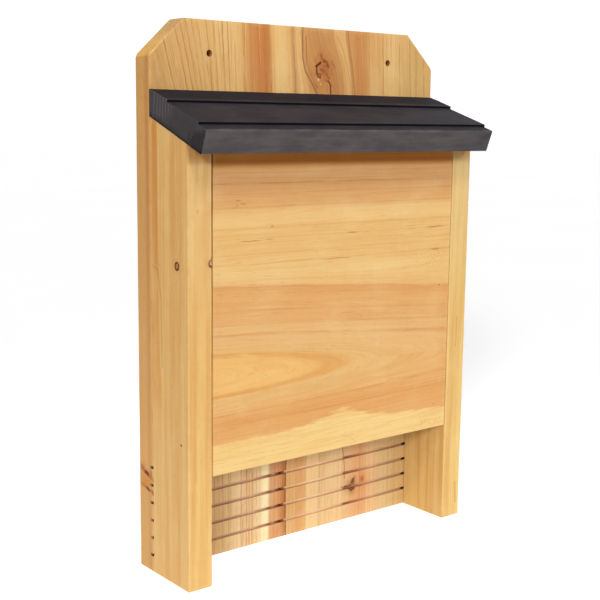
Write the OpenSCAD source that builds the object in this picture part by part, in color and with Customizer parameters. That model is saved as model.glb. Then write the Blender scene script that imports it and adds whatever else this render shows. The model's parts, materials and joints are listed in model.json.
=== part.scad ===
// Single-chamber bat house: a back board with a grooved landing area, two side rails,
// a front panel, a stepped roof board, and the screws and brads that hold them together.
// The wall side faces +Y and the front faces -Y. The origin lies on the back face, midway
// between the two hanging holes.

/* [Back board] */
// Width of the back board and the body
body_w = 260; // [220:1:320]
// Height of the back board
body_h = 381; // [370:1:450]
// Thickness of the back board
back_t = 18; // [15:0.5:22]
// Width of each clipped top corner
corner_w = 27; // [10:1:40]
// Height of each clipped top corner
corner_h = 25; // [10:1:35]

/* [Hanging holes] */
// Distance between the two hanging holes
hang_spacing = 165; // [100:1:180]
// Diameter of a hanging hole
hang_d = 4.5; // [4:0.5:8]
// Distance from the top edge down to the hanging holes
hang_drop = 22.3; // [18:0.1:30]

/* [Landing grooves] */
// Number of saw kerfs across the landing area
kerf_count = 6; // [1:1:6]
// Distance from one kerf to the next
kerf_pitch = 12.7; // [11:0.1:13]
// Width of a kerf
kerf_w = 2.2; // [1.5:0.1:3.5]
// Depth of a kerf
kerf_d = 2; // [1:0.1:4]

/* [Side rails] */
// Thickness of a side rail
side_t = 19; // [15:0.5:22]
// Depth of a side rail, forward from the back board
side_d = 45; // [42:1:60]

/* [Front panel] */
// Thickness of the front panel
panel_t = 18; // [12:0.5:20]
// Height of the open landing area below the panel
landing_h = 77.3; // [60:0.1:100]
// Gap between the panel's ends and the side rails
panel_gap = 0.3; // [0.1:0.1:1]

/* [Roof] */
// How far each end of the roof stands past the body
roof_past = 0.5; // [0:0.1:10]
// Slope of the roof
roof_pitch = 20.8; // [15:0.1:25]
// Height at which the roof's underside meets the back board
roof_h = 316; // [312:0.1:318]
// Length of the roof's underside, down the slope
roof_l = 65; // [60:1:90]
// Thickness of the roof board at the front edge of a step
roof_t = 18; // [15:0.1:20]
// Height of each step in the roof's top face
step_h = 1.9; // [1:0.1:3]
// Distance from one step to the next, down the slope
step_pitch = 38.8; // [30:0.1:45]
// Distance from the back board to the first step, down the slope
step_start = 17.2; // [10:0.1:25]

/* [Fasteners] */
// Number of screws that hold each side rail
side_screws = 4; // [2:1:4]
// Number of screws that hold the roof
roof_screw_count = 3; // [2:1:3]
// Number of brads through each side rail
brad_count = 1; // [1:1:4]
// Diameter of a screw's shank
screw_d = 4; // [3:0.5:4.5]
// Diameter of a screw's head
screw_head_d = 8; // [7:0.5:9]
// Diameter of a brad's shank
brad_d = 1.6; // [1.2:0.1:2]

/* [Hidden] */
$fn = 48;

// Left is towards -X, seen from the front.
left = -1;
right = 1;

// Distances forward from the back face
front_d = back_t + side_d;
panel_back_d = front_d - panel_t;
brad_row_d = front_d - panel_t / 2;

// Heights above the base
hang_h = body_h - hang_drop;
side_screw_low_h = 2.5 * kerf_pitch;
side_screw_high_h = roof_h - 16.8;
roof_screw_h = roof_h + 6;
brad_low_h = landing_h + 23;
brad_high_h = roof_h - 31.8;

side_x = (body_w - side_t) / 2;
roof_screw_span = 0.72 * body_w;

// Screws: a flat countersunk head with a cross recess, set just below the face
side_screw_l = 50;
roof_screw_l = 40;
screw_set = 0.4;
screw_rim = 0.5;
screw_tip_l = 6;
recess_l = 4.2;
recess_w = 1;
recess_deep = 2;

// Brads: a headless nail with a small swelled top, set just below the face
brad_l = 38;
brad_set = 0.4;
brad_head_d = 2;
brad_head_l = 1.2;
brad_tip_l = 3;

fit_gap = 0.05;
cut = 1;

// Height of the roof's underside at a distance forward from the back face
function roof_under(d) = roof_h - (d - back_t) * tan(roof_pitch);

// Values spaced evenly from a to b, or a alone when n is 1
function evenly(a, b, n) = [for (i = [0 : n - 1]) a + (b - a) * i / max(1, n - 1)];

// Lowers a model that stands on z = 0, so that the hanging holes lie on z = 0
module hung() {
    translate([0, 0, -hang_h]) children();
}

// Extrudes a side view, drawn with x forward from the back face and y up, over the width w
module across(w) {
    rotate([90, 0, -90]) linear_extrude(w, center = true) children();
}

// Half outline of a fastener whose head starts at y = 0 and whose tip is at y = l.
// The gap g enlarges it into the hole that it sits in.
function fastener_outline(head_r, rim, shank_r, taper, tip, l, g, mouth) = [
    [0, -mouth],
    [head_r + g, -mouth],
    [head_r + g, rim],
    [shank_r + g, rim + taper],
    [shank_r + g, l - tip],
    [0, l + g]
];

// Countersunk wood screw along +Z, or the hole for one when g is above 0
module screw_body(l, g = 0, mouth = 0) {
    head_r = screw_head_d / 2;
    shank_r = screw_d / 2;
    rotate_extrude()
        polygon(fastener_outline(head_r, screw_rim, shank_r, head_r - shank_r, screw_tip_l,
                                 l, g, mouth));
}

module wood_screw(l) {
    difference() {
        screw_body(l);
        for (a = [0, 90])
            rotate([0, 0, a])
                translate([-recess_l / 2, -recess_w / 2, -cut])
                    cube([recess_l, recess_w, recess_deep + cut]);
    }
}

// Brad along +Z, or the hole for one when g is above 0
module brad_body(g = 0, mouth = 0) {
    rotate_extrude()
        polygon(fastener_outline(brad_head_d / 2, brad_head_l, brad_d / 2, fit_gap, brad_tip_l,
                                 brad_l, g, mouth));
}

// Puts its children, drawn along +Z, at each side screw of one side, pointing forward
module at_side_screws(side) {
    for (h = evenly(side_screw_low_h, side_screw_high_h, side_screws))
        translate([side * side_x, -screw_set, h]) rotate([90, 0, 0]) children();
}

module at_roof_screws() {
    for (x = evenly(-roof_screw_span / 2, roof_screw_span / 2, roof_screw_count))
        translate([x, -screw_set, roof_screw_h]) rotate([90, 0, 0]) children();
}

// Puts its children, drawn along +Z, at each brad of one side, pointing inward
module at_brads(side) {
    for (h = evenly(brad_low_h, brad_high_h, brad_count))
        translate([side * (body_w / 2 - brad_set), -brad_row_d, h])
            rotate([0, -90 * side, 0]) children();
}

module side_screw_holes(side) {
    at_side_screws(side) screw_body(side_screw_l, fit_gap, cut);
}

module roof_screw_holes() {
    at_roof_screws() screw_body(roof_screw_l, fit_gap, cut);
}

module brad_holes(side) {
    at_brads(side) brad_body(fit_gap, cut);
}

// Front view of the back board, with its top corners clipped
module back_outline() {
    w = body_w / 2;
    polygon([
        [-w, 0],
        [w, 0],
        [w, body_h - corner_h],
        [w - corner_w, body_h],
        [-w + corner_w, body_h],
        [-w, body_h - corner_h]
    ]);
}

module back_board() {
    color("burlywood") hung() difference() {
        rotate([90, 0, 0]) linear_extrude(back_t) back_outline();
        for (i = [1 : kerf_count])
            translate([-body_w / 2 - cut, -back_t - cut, i * kerf_pitch - kerf_w / 2])
                cube([body_w + 2 * cut, kerf_d + cut, kerf_w]);
        for (side = [left, right])
            translate([side * hang_spacing / 2, cut, hang_h])
                rotate([90, 0, 0]) cylinder(h = back_t + 2 * cut, d = hang_d);
        side_screw_holes(left);
        side_screw_holes(right);
        roof_screw_holes();
    }
}

// Side rail whose top is cut to the roof's slope
module side_rail(side) {
    color("sandybrown") hung() difference() {
        translate([side * side_x, 0, 0]) across(side_t)
            polygon([
                [back_t, 0],
                [front_d, 0],
                [front_d, roof_under(front_d)],
                [back_t, roof_under(back_t)]
            ]);
        side_screw_holes(side);
        brad_holes(side);
    }
}

module left_side() {
    side_rail(left);
}

module right_side() {
    side_rail(right);
}

module front_panel() {
    color("tan") hung() difference() {
        across(body_w - 2 * (side_t + panel_gap))
            polygon([
                [panel_back_d, landing_h],
                [front_d, landing_h],
                [front_d, roof_under(front_d)],
                [panel_back_d, roof_under(panel_back_d)]
            ]);
        brad_holes(left);
        brad_holes(right);
    }
}

// End view of the roof board before it is tilted: x runs down the slope from the back
// board and y is square to the underside. The top face rises towards each step, then
// drops by step_h.
module roof_outline() {
    rise = step_h / step_pitch;
    root = roof_t - step_h;
    steps = floor((roof_l - step_start) / step_pitch) + 1;
    last = step_start + (steps - 1) * step_pitch;
    polygon(concat(
        [[-roof_t, 0], [roof_l, 0], [roof_l, root + rise * (roof_l - last)]],
        [for (i = [steps - 1 : -1 : 0], y = [root, roof_t]) [step_start + i * step_pitch, y]],
        [[-roof_t, roof_t - rise * (step_start + roof_t)]]
    ));
}

module roof() {
    color("dimgray") hung() difference() {
        across(body_w + 2 * roof_past) intersection() {
            translate([back_t, roof_h]) rotate(-roof_pitch) roof_outline();
            translate([back_t, 0]) square([2 * roof_l, body_h]);
        }
        roof_screw_holes();
    }
}

module side_screw_set(side) {
    color("silver") hung() at_side_screws(side) wood_screw(side_screw_l);
}

module left_side_screws() {
    side_screw_set(left);
}

module right_side_screws() {
    side_screw_set(right);
}

module roof_screws() {
    color("silver") hung() at_roof_screws() wood_screw(roof_screw_l);
}

module brad_set_of(side) {
    color("gray") hung() at_brads(side) brad_body();
}

module left_panel_brad() {
    brad_set_of(left);
}

module right_panel_brad() {
    brad_set_of(right);
}

back_board();
left_side();
right_side();
front_panel();
roof();
left_side_screws();
right_side_screws();
roof_screws();
left_panel_brad();
right_panel_brad();
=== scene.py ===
import json
import math

import bmesh
import bpy
import numpy as np
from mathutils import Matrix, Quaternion, Vector, noise
from mathutils.geometry import tessellate_polygon


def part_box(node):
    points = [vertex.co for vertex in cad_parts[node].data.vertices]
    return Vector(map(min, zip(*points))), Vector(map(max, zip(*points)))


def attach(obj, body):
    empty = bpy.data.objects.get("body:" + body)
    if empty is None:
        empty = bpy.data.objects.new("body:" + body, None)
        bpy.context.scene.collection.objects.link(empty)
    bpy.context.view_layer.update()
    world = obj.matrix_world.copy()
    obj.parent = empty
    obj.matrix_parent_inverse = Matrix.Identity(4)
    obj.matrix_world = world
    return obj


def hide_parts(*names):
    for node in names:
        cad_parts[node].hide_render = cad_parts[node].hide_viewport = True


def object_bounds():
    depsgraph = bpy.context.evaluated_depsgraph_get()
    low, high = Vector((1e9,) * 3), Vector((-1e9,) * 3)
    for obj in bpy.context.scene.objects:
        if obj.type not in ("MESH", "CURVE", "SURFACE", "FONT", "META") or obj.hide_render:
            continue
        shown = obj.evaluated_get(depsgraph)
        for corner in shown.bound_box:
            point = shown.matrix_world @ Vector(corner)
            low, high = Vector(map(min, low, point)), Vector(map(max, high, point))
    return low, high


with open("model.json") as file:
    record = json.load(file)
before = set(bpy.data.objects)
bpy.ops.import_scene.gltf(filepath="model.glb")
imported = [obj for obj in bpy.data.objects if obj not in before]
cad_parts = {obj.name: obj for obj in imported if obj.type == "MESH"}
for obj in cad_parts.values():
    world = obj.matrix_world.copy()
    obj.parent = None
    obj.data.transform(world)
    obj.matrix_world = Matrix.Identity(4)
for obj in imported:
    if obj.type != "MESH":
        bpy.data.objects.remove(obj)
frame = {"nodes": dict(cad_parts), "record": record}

cad_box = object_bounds()

# ---------------------------------------------------------------------------------------
# Places. Shapes and patterns are worked out in bench millimetres: x across, y forward
# (the front faces -y and the back face is y = 0), z up from the bottom of the house.
# ---------------------------------------------------------------------------------------

MM = 0.001
BASE = cad_box[0].z / MM
LEFT, RIGHT = -1, 1
HANGING = next(m for m in frame["record"]["mounts"] if m["name"] == "hanging_holes")


def bench(point):
    """A point of the frame, in metres, as bench millimetres."""
    return np.array([point[0] / MM, point[1] / MM, point[2] / MM - BASE])


def bench_box(node):
    return tuple(bench(corner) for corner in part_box(node))


def largest_face_loop(node, axis, level):
    """Corners, in order, round the flat CAD face of a node that lies at level along an axis."""
    mesh = frame["nodes"][node].data
    points = [tuple(np.round(bench(v.co), 2)) for v in mesh.vertices]
    follow = {}
    for face in mesh.polygons:
        corners = [points[i] for i in face.vertices]
        if any(abs(c[axis] - level) > 0.02 for c in corners):
            continue
        for a, b in zip(corners, corners[1:] + corners[:1]):
            if follow.get(b) is not None and a in follow[b]:
                follow[b].remove(a)
            else:
                follow.setdefault(a, []).append(b)
    loops = []
    while any(follow.values()):
        start = here = next(a for a in follow if follow[a])
        loop = []
        while True:
            loop.append(here)
            here = follow[here].pop()
            if here == start:
                break
        loops.append(np.array(loop))
    loop = max(loops, key=lambda points: np.ptp(points, axis=0).max())
    return np.delete(loop, axis, axis=1)


def unit(v):
    return v / np.linalg.norm(v)


def cross(a, b):
    return a[0] * b[1] - a[1] * b[0]


def true_corners(loop):
    """The loop, counter-clockwise, without the points that lie on a straight run."""
    kept = []
    for i, point in enumerate(loop):
        before, after = unit(loop[i - 1] - point), unit(loop[(i + 1) % len(loop)] - point)
        if abs(cross(before, after)) > 0.01:
            kept.append(point)
    kept = np.array(kept)
    area = sum(cross(kept[i - 1], kept[i]) for i in range(len(kept)))
    return kept if area > 0 else kept[::-1]


# ---------------------------------------------------------------------------------------
# Mesh work: boards are lofted from an eased outline, with worn and uneven surfaces.
# ---------------------------------------------------------------------------------------

ROUND_STEPS = 3


def eased_outline(corners, spacing, radii):
    """Points and outward normals round a polygon whose corners are rounded, and each point's
    distance from the nearest corner."""
    points, normals = [], []
    count = len(corners)
    arcs = []
    for i, (corner, radius) in enumerate(zip(corners, radii)):
        before = unit(corners[i - 1] - corner)
        after = unit(corners[(i + 1) % count] - corner)
        half = math.acos(float(np.clip(before @ after, -1, 1))) / 2
        turn = 1 if cross(-before, after) > 0 else -1
        centre = corner + unit(before + after) * radius / math.sin(half)
        reach = radius / math.tan(half)
        first = unit(corner + before * reach - centre)
        last = unit(corner + after * reach - centre)
        arc = []
        for step in range(ROUND_STEPS + 1):
            share = step / ROUND_STEPS
            out = unit(first * (1 - share) + last * share)
            arc.append((centre + out * radius, out * turn))
        arcs.append(arc)
    for i, arc in enumerate(arcs):
        for point, normal in arc:
            points.append(point)
            normals.append(normal)
        start, normal = arc[-1]
        end = arcs[(i + 1) % count][0][0]
        pieces = max(1, round(float(np.linalg.norm(end - start)) / spacing))
        for k in range(1, pieces):
            points.append(start + (end - start) * k / pieces)
            normals.append(normal)
    points, normals = np.array(points), np.array(normals)
    nearest = np.min([np.linalg.norm(points - c, axis=1) for c in corners], axis=0)
    return points, normals, nearest


def spaced(low, high, spacing):
    return list(np.linspace(low, high, max(2, round((high - low) / spacing) + 1)))


def eased_stations(low, high, spacing, radius):
    """Stations along a board as (place, inset), with both ends rounded over."""
    lead = [(0.95 * radius * (1 - math.sin(a)), 0.9 * radius * (1 - math.cos(a)))
            for a in np.linspace(0, math.pi / 2, ROUND_STEPS + 1)]
    start = [(low + along, inset) for inset, along in lead]
    end = [(low + high - place, inset) for place, inset in reversed(start)]
    middle = [(t, 0.0) for t in spaced(low + radius, high - radius, spacing)[1:-1]]
    return start + middle + end


def field(points, size, seed=0.0):
    """Smooth random values from -1 to 1 at bench points. size is the length of a bump in mm
    along each axis."""
    scaled = points / np.array(size) + np.array([seed, 1.7 * seed, -2.3 * seed])
    return np.array([noise.noise(Vector(p)) for p in scaled])


def worn(grain_axis, edge_depth=0.6, seed=0.0):
    """How deep a board's surface lies under the ideal one: slow waves from planing, faint
    ridges along the grain, and nicks on the eased edges."""
    along = [6.0, 6.0, 6.0]
    along[grain_axis] = 90.0
    slow = [45.0, 45.0, 45.0]

    def depth(points, near_edge):
        waves = 0.08 * (1 + field(points, slow, seed))
        ridges = 0.03 * (1 + field(points, along, seed + 5))
        nicks = np.clip(field(points, (5.0, 5.0, 5.0), seed + 9) - 0.42, 0, 1)
        return waves + ridges + edge_depth * nicks * np.clip(1 - near_edge / 2.2, 0, 1)

    return depth


ALONG_AN_AXIS = 0.9999999
SHARP_ANGLE = math.radians(38)


def finish_mesh(obj, material, node):
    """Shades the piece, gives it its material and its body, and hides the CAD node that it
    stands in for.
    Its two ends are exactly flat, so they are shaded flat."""
    obj.data.shade_smooth()
    for face in obj.data.polygons:
        face.use_smooth = max(abs(part) for part in face.normal) < ALONG_AN_AXIS
    obj.data.set_sharp_from_angle(angle=SHARP_ANGLE)
    flat = obj.modifiers.new("flat_faces_stay_flat", "WEIGHTED_NORMAL")
    flat.keep_sharp = True
    obj.data.materials.clear()
    obj.data.materials.append(material)
    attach(obj, "root")
    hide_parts(node)


def mesh_object(name, vertices, faces, attributes=None):
    mesh = bpy.data.meshes.new(name)
    metres = [((x * MM), (y * MM), ((z + BASE) * MM)) for x, y, z in vertices]
    mesh.from_pydata(metres, [], faces)
    for key, values in (attributes or {}).items():
        layer = mesh.attributes.new(key, "FLOAT", "POINT")
        layer.data.foreach_set("value", np.array(values, np.float32))
    work = bmesh.new()
    work.from_mesh(mesh)
    bmesh.ops.recalc_face_normals(work, faces=work.faces)
    work.to_mesh(mesh)
    work.free()
    obj = bpy.data.objects.new(name, mesh)
    bpy.context.scene.collection.objects.link(obj)
    return obj


def loft(name, outline, stations, place, depth, recess=None):
    """A closed board: the outline repeated at each station, its surface sunk by depth().
    place(points, t) turns outline points at station t into bench points. The vertex
    attribute edge says how near a vertex is to an eased edge, and recess how far inside
    a groove or under a step it lies."""
    ring, normals, nearest = outline
    count = len(ring)
    low, high = stations[0][0], stations[-1][0]
    vertices, edge, sunk = [], [], []
    for t, inset in stations:
        inside = ring - normals * inset
        near = np.minimum(nearest, min(t - low, high - t) + inset)
        down = depth(place(inside, t), near)
        vertices.extend(place(inside - normals * down[:, None], t))
        edge.extend(np.clip(1 - near / 1.6, 0, 1))
        sunk.extend(recess(ring, normals, t) if recess else np.zeros(count))
    faces = []
    for row in range(len(stations) - 1):
        a, b = row * count, (row + 1) * count
        for i in range(count):
            j = (i + 1) % count
            faces.append((a + i, a + j, b + j, b + i))
    for first in (0, len(vertices) - count):
        cap = [Vector(vertex) for vertex in vertices[first:first + count]]
        for triangle in tessellate_polygon([cap]):
            faces.append(tuple(first + i for i in triangle))
    return mesh_object(name, vertices, faces, {"edge": edge, "recess": sunk})


def lathe(profile, centre, direction, ragged=0.0, segments=40):
    """Closed solid of revolution. profile holds (radius, distance) pairs along direction,
    which starts from centre. ragged makes its rim uneven."""
    turn = Vector(direction).to_track_quat("Z", "Y")
    vertices, faces = [], []
    for radius, distance in profile:
        for i in range(segments):
            angle = 2 * math.pi * i / segments
            rough = noise.noise(Vector((math.cos(angle) * 3, math.sin(angle) * 3,
                                        centre[2] * 0.37)))
            reach = radius * (1 + ragged * rough)
            spoke = Vector((reach * math.cos(angle), reach * math.sin(angle), distance))
            vertices.append(np.array(centre) + np.array(turn @ spoke))
    for row in range(len(profile) - 1):
        for i in range(segments):
            j = (i + 1) % segments
            a, b = row * segments, (row + 1) * segments
            faces.append((a + i, a + j, b + j, b + i))
    faces.append(tuple(reversed(range(segments))))
    faces.append(tuple(range(len(vertices) - segments, len(vertices))))
    return vertices, faces


def drill(obj, cutters):
    """Cuts lathed solids out of a piece."""
    vertices, faces = [], []
    for more_vertices, more_faces in cutters:
        start = len(vertices)
        vertices.extend(more_vertices)
        faces.extend(tuple(start + i for i in face) for face in more_faces)
    cutter = mesh_object(obj.name + "_cutter", vertices, faces)
    cut = obj.modifiers.new("drill", "BOOLEAN")
    cut.operation = "DIFFERENCE"
    cut.solver = "EXACT"
    cut.object = cutter
    drilled = bpy.data.meshes.new_from_object(
        obj.evaluated_get(bpy.context.evaluated_depsgraph_get()))
    obj.modifiers.clear()
    obj.data = drilled
    bpy.data.objects.remove(cutter)


# ---------------------------------------------------------------------------------------
# The boards
# ---------------------------------------------------------------------------------------

EASE = 0.7
SIDE_SCREWS = 4
ROOF_SCREWS = 3
SCREW_HEAD_RADIUS = 4.0
SCREW_SHANK_RADIUS = 2.0
CLEARANCE = 0.12

KERFS = 6
KERF_PITCH = 12.7
KERF_WIDTH = 2.2
KERF_DEPTH = 2.0
KERF_TILT = 0.004


def rectangle(low, high):
    return np.array([(low[0], low[1]), (high[0], low[1]), (high[0], high[1]),
                     (low[0], high[1])])


def screw_places(node, axis, count):
    """Centres of evenly spaced screws along an axis of the box of their node."""
    low, high = bench_box(node)
    middle = (low + high) / 2
    for place in np.linspace(low[axis] + SCREW_HEAD_RADIUS, high[axis] - SCREW_HEAD_RADIUS,
                             count):
        centre = middle.copy()
        centre[axis] = place
        yield centre


def screw_cutter(centre):
    """Countersunk hole, right through the back board, for a screw driven from the back."""
    top = SCREW_HEAD_RADIUS + CLEARANCE
    under = SCREW_SHANK_RADIUS + CLEARANCE
    profile = [(top + 0.35, -1.0), (top + 0.3, 0.15), (top, 0.4), (top, 0.9),
               (under, 0.9 + top - under), (under, 30.0)]
    return lathe(profile, (centre[0], 0.0, centre[2]), (0, -1, 0), ragged=0.05)


def hanging_hole_cutter(side, thick):
    """Hole through a board of this thickness, worn a little wider at both faces."""
    radius = HANGING["dims"]["hole_r_mm"]
    half_spacing = HANGING["dims"]["spacing_x_mm"] / 2
    centre = bench(HANGING["pos_m"]) + np.array([side * half_spacing, 0, 0])
    profile = [(radius + 0.5, -1.0), (radius + 0.4, 0.1), (radius, 0.5), (radius, thick - 0.5),
               (radius + 0.2, thick - 0.1), (radius + 0.25, thick + 1)]
    return lathe(profile, centre, (0, -1, 0), ragged=0.06)


def kerf_rows():
    """Rows across the kerfs as (height, groove depth), steep at each wall."""
    rows = []
    for n in range(1, KERFS + 1):
        for away, depth in ((KERF_WIDTH / 2 + 1.2, 0), (KERF_WIDTH / 2 + 0.45, 0),
                            (KERF_WIDTH / 2 + 0.12, 0.04), (KERF_WIDTH / 2, 0.2),
                            (KERF_WIDTH / 2 - 0.06, 0.93), (KERF_WIDTH / 2 - 0.2, 1.0)):
            for side in (-1, 1):
                rows.append((n * KERF_PITCH + side * away, depth * KERF_DEPTH))
        rows.append((n * KERF_PITCH, KERF_DEPTH))
    return rows


def make_back_board(material):
    low, high = bench_box("back_board")
    loop = largest_face_loop("back_board", 1, 0.0)
    clip_height = loop[np.abs(loop[:, 0]) > high[0] - 0.1][:, 1].max()
    top_half = loop[loop[:, 1] > high[2] - 0.1][:, 0].max()
    slope = (high[0] - top_half) / (high[2] - clip_height)
    outline = eased_outline(rectangle(low, high), 2.1, [EASE] * 4)
    kerfs = kerf_rows()
    kerf_depth = {round(z, 3): depth for z, depth in kerfs}
    clear = [s for s in eased_stations(low[2], high[2], 2.6, EASE)
             if all(abs(s[0] - n * KERF_PITCH) > KERF_WIDTH / 2 + 2
                    for n in range(1, KERFS + 1))]
    stations = sorted(clear + [(z, 0.0) for z, _ in kerfs])

    def place(points, t):
        narrow = 1 - max(0.0, t - clip_height) * slope / high[0]
        x, y = points[:, 0] * narrow, points[:, 1]
        y = y + kerf_depth.get(round(t, 3), 0.0) * (y / low[1])
        z = np.full(len(x), t)
        last = KERFS * KERF_PITCH
        level = np.clip(min(t / 8 - 0.2, (last + 14 - t) / 10), 0, 1)
        z = z + KERF_TILT * x * level
        if round(t, 3) in kerf_depth:
            row = np.column_stack([x, np.zeros(len(x)), np.full(len(x), t // 6 * 40.0)])
            z = z + 0.10 * field(row, (14.0, 1.0, 1.0))
        return np.column_stack([x, y, z])

    planed = worn(2, seed=1.0)

    def depth(points, near):
        sunk = planed(points, near)
        index = np.clip(np.round(points[:, 2] / KERF_PITCH), 1, KERFS)
        from_wall = np.abs(np.abs(points[:, 2] - index * KERF_PITCH) - KERF_WIDTH / 2)
        tear = np.clip(field(points, (1.3, 50.0, 0.9), 3.0) - 0.15, 0, 1)
        chips = 0.5 * tear * np.clip(1 - from_wall / 0.8, 0, 1)
        return sunk + np.where(points[:, 1] < low[1] + 1, chips, 0)

    def recess(points, normals, t):
        share = kerf_depth.get(round(t, 3), 0.0) / KERF_DEPTH
        return np.where(points[:, 1] < low[1] + 1, share, 0)

    board = loft("back_board_wood", outline, stations, place, depth, recess)
    cutters = [hanging_hole_cutter(side, high[1] - low[1]) for side in (LEFT, RIGHT)]
    for node in ("left_side_screws", "right_side_screws"):
        cutters += [screw_cutter(c) for c in screw_places(node, 2, SIDE_SCREWS)]
    cutters += [screw_cutter(c) for c in screw_places("roof_screws", 0, ROOF_SCREWS)]
    drill(board, cutters)
    finish_mesh(board, material, "back_board")


def make_rail(name, side, material):
    low, high = bench_box(name)
    outline = eased_outline(rectangle(low, high), 1.5, [EASE] * 4)
    outer = high[0] if side == RIGHT else low[0]
    loop = largest_face_loop(name, 0, outer)
    front_top = loop[np.abs(loop[:, 0] - low[1]) < 0.1][:, 1].max()
    stations = eased_stations(0.0, high[2], 2.4, EASE)

    def place(points, t):
        top = front_top + (high[2] - front_top) * (points[:, 1] - low[1]) / (high[1] - low[1])
        return np.column_stack([points[:, 0], points[:, 1], t / high[2] * top])

    board = loft(name + "_wood", outline, stations, place, worn(2, seed=4.0 + side))
    brad = "left_panel_brad" if side == LEFT else "right_panel_brad"
    head_low, head_high = bench_box(brad)
    radius = (head_high[2] - head_low[2]) / 2 + 0.05
    centre = (head_low + head_high) / 2
    hole = [(radius + 0.1, -1.0), (radius + 0.08, 0.1), (radius, 0.3), (radius, 2.6)]
    drill(board, [lathe(hole, (outer, centre[1], centre[2]), (-side, 0, 0),
                        ragged=0.12, segments=24)])
    finish_mesh(board, material, name)


def make_panel(material):
    low, high = bench_box("front_panel")
    loop = true_corners(largest_face_loop("front_panel", 0, high[0]))
    outline = eased_outline(loop, 2.2, [EASE] * len(loop))
    stations = eased_stations(low[0], high[0], 2.2, EASE)

    def place(points, t):
        """The panel is cut a little out of square, so its left joint opens to the top."""
        rise = (points[:, 1] - low[2]) / (high[2] - low[2])
        gap = 0.1 + 0.7 * rise ** 2
        x = high[0] - (high[0] - t) * (1 - gap / (high[0] - low[0]))
        return np.column_stack([x, points[:, 0], points[:, 1]])

    board = loft("front_panel_wood", outline, stations, place, worn(0, seed=7.0))
    finish_mesh(board, material, "front_panel")


def make_roof(material):
    low, high = bench_box("roof")
    loop = true_corners(largest_face_loop("roof", 0, high[0]))
    front_top = np.argmin(loop[:, 0])
    front = loop[front_top] - min(loop[front_top - 1], loop[(front_top + 1) % len(loop)],
                                  key=lambda corner: corner[1])
    faces_front = np.array([-front[1], front[0]]) / np.linalg.norm(front)
    radii = [0.9 if i == front_top else 0.4 for i in range(len(loop))]
    outline = eased_outline(loop, 1.3, radii)

    def place(points, t):
        return np.column_stack([np.full(len(points), t), points[:, 0], points[:, 1]])

    def recess(points, normals, t):
        """1 on the faces of the steps."""
        on_step = (normals @ faces_front > 0.6) & (points[:, 0] > low[1] + 6.0)
        return on_step.astype(float)

    board = loft("roof_board", outline, eased_stations(low[0], high[0], 1.8, 0.4), place,
                 worn(0, edge_depth=0.7, seed=12.0), recess)
    finish_mesh(board, material, "roof")


# ---------------------------------------------------------------------------------------
# Shader helpers: Val lets node arithmetic be written as arithmetic.
# ---------------------------------------------------------------------------------------

LIT = 1.42


def srgb(red, green, blue):
    """The linear colour of a surface that shows as this display colour, 0 to 255, under the
    studio lights, which brighten a surface by LIT."""
    linear = [c / 255 / 12.92 if c <= 10 else ((c / 255 + 0.055) / 1.055) ** 2.4
              for c in (red, green, blue)]
    return (*(c / LIT for c in linear), 1.0)


class Val:
    """A number in a node tree."""

    def __init__(self, graph, socket):
        self.graph, self.socket = graph, socket

    def __add__(self, other):
        return self.graph.math("ADD", self, other)

    def __sub__(self, other):
        return self.graph.math("SUBTRACT", self, other)

    def __rsub__(self, other):
        return self.graph.math("SUBTRACT", other, self)

    def __mul__(self, other):
        return self.graph.math("MULTIPLY", self, other)

    def __truediv__(self, other):
        return self.graph.math("DIVIDE", self, other)

    def __neg__(self):
        return self.graph.math("MULTIPLY", self, -1.0)

    def abs(self):
        return self.graph.math("ABSOLUTE", self)

    def sqrt(self):
        return self.graph.math("SQRT", self)

    def sign(self):
        return self.graph.math("SIGN", self)

    def least(self, other):
        return self.graph.math("MINIMUM", self, other)

    __radd__ = __add__


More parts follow.
